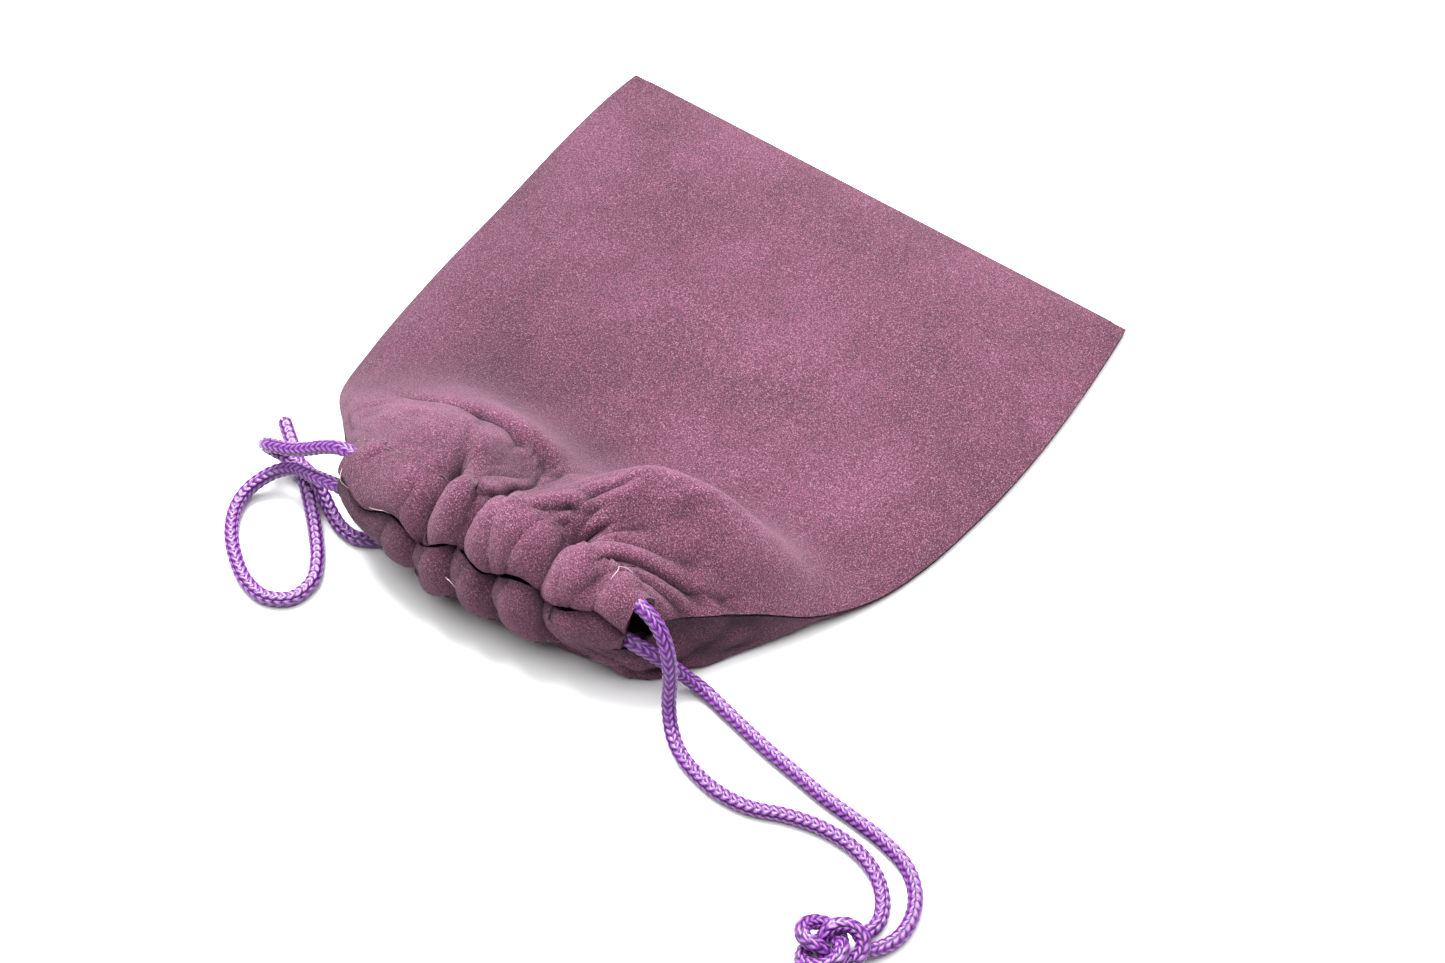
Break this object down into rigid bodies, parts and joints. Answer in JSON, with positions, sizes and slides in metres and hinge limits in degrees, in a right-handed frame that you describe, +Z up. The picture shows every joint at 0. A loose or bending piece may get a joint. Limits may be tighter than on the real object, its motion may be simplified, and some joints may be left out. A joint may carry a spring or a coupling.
{
  "type": "drawstring pouch",
  "caption": "Flat velour pouch lying on a table with a gathered hem mouth, a cord drawn out at each end of the mouth, one tied in a knot.",
  "frame": {"origin": "on the table, under the middle of the bag without its free cords", "axes": "+X is the bag's right side, +Y runs from the gathered mouth to the bottom seam, +Z is up from the table"},
  "size_m": [0.1686, 0.175, 0.0278],
  "materials": {
    "velour": "short napped velour, matt with a soft sheen",
    "cord": "braided satin cord, glossy",
    "thread": "sewing thread"
  },
  "bodies": {
    "bag": {"front_panel": "velour", "back_panel": "velour", "left_seam_thread": "thread", "right_seam_thread": "thread", "bottom_seam_thread": "thread"},
    "mouth_left": {"front_casing_left": "velour", "back_casing_left": "velour", "front_casing_thread_left": "thread", "back_casing_thread_left": "thread"},
    "mouth_right": {"front_casing_right": "velour", "back_casing_right": "velour", "front_casing_thread_right": "thread", "back_casing_thread_right": "thread"},
    "right_drawstring": {"right_cord_front_run": "cord", "right_cord_back_run": "cord", "right_cord_bight": "cord", "right_strand_front": "cord", "right_strand_back": "cord", "right_knot": "cord", "right_tail_front": "cord", "right_tail_back": "cord"},
    "left_drawstring": {"left_cord_front_run": "cord", "left_cord_back_run": "cord", "left_cord_bight": "cord", "left_strand_loop": "cord", "left_strand_short": "cord"}
  },
  "joints": [
    {"name": "right_pull", "type": "slide", "parent": "bag", "child": "right_drawstring", "axis": [1, 0, 0], "range_m": [-0.003, 0.008]},
    {"name": "left_pull", "type": "slide", "parent": "bag", "child": "left_drawstring", "axis": [-1, 0, 0], "range_m": [-0.003, 0.008]},
    {"name": "mouth_left_gather", "type": "slide", "parent": "bag", "child": "mouth_left", "axis": [1, 0, 0], "range_m": [-0.003, 0.008]},
    {"name": "mouth_right_gather", "type": "slide", "parent": "bag", "child": "mouth_right", "axis": [-1, 0, 0], "range_m": [-0.003, 0.008]}
  ],
  "couplings": [
    {"joint": "mouth_left_gather", "follows": "right_pull", "ratio": 1},
    {"joint": "mouth_right_gather", "follows": "left_pull", "ratio": 1}
  ]
}
